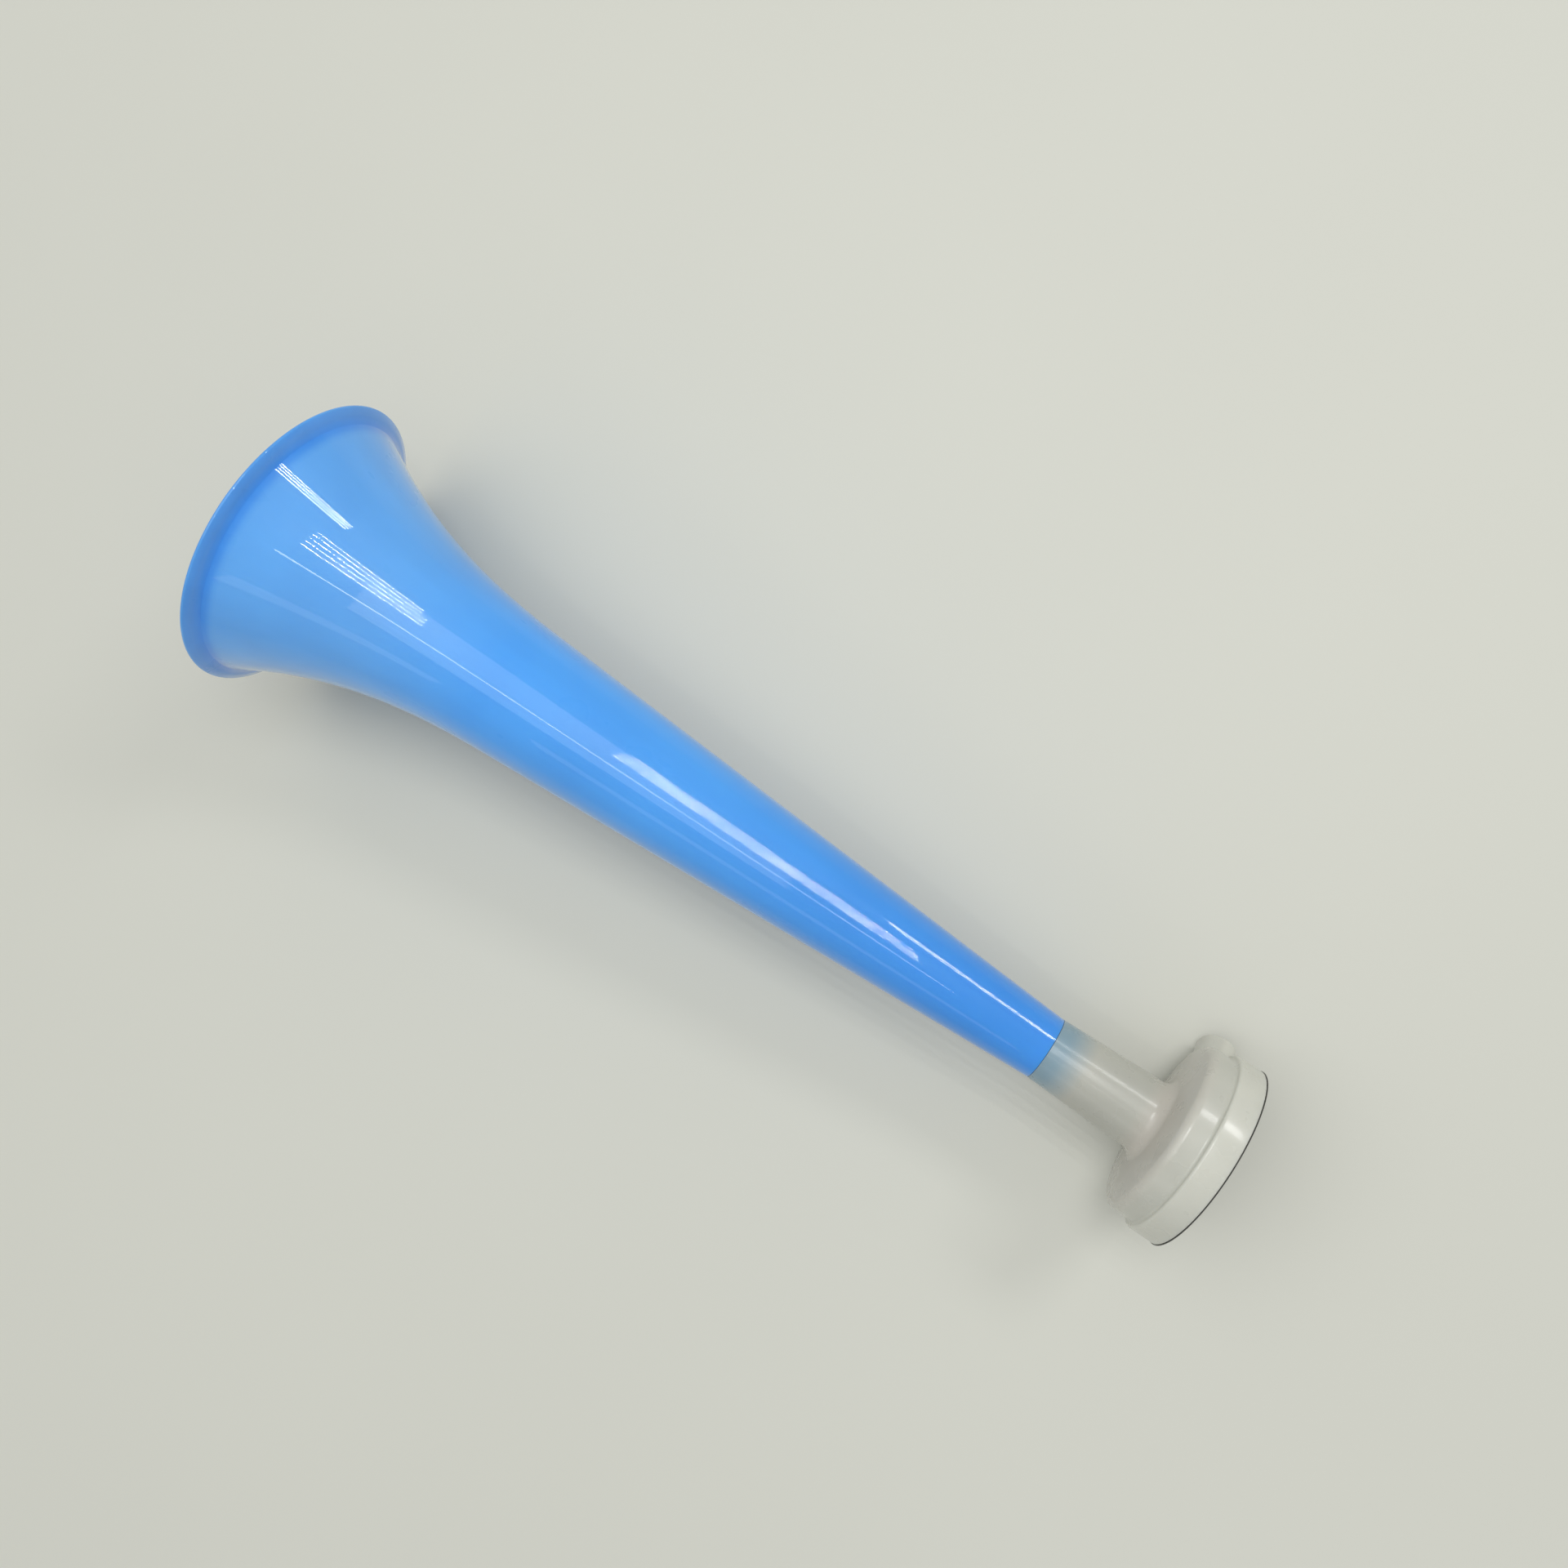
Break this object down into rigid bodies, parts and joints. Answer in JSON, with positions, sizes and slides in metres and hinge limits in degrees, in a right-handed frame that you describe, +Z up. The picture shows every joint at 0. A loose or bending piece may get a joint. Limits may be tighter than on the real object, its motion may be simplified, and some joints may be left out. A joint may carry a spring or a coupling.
{
  "type": "stadium horn",
  "caption": "Hand-held membrane horn: long flared translucent bell pushed into a white head with a round cup, a side blow nozzle and a film held taut at the back.",
  "frame": {"origin": "middle of the base of the bounding box, on the surface that the horn lies on", "axes": "+X along the horn, towards the mouth of the bell; +Z up; the blow nozzle points to -Y and down. The horn lies on the lip of its bell, the edge of its film and its nozzle, so its own axis rises 3.4 degrees towards the mouth"},
  "size_m": [0.3414, 0.1, 0.0998],
  "materials": {
    "bell": "glossy translucent blue moulding, paler where the wall is thin",
    "head": "glossy milky translucent white moulding",
    "membrane": "thin smooth dark film",
    "hoop": "satin milky white moulding"
  },
  "bodies": {
    "bell": {"bell": "bell"},
    "head": {"head": "head"},
    "membrane": {"membrane": "membrane"},
    "hoop": {"hoop": "hoop"}
  },
  "joints": [
    {"name": "head_pull", "type": "slide", "parent": "bell", "child": "head", "axis": [-0.9982, 0, -0.0595], "range_m": [0, 0.03]},
    {"name": "hoop_pull", "type": "slide", "parent": "head", "child": "hoop", "axis": [-0.9982, 0, -0.0595], "range_m": [0, 0.012]},
    {"name": "membrane_pull", "type": "slide", "parent": "head", "child": "membrane", "axis": [-0.9982, 0, -0.0595], "range_m": [0, 0.006]}
  ],
  "couplings": [
    {"joint": "membrane_pull", "follows": "hoop_pull", "ratio": 0.5}
  ]
}
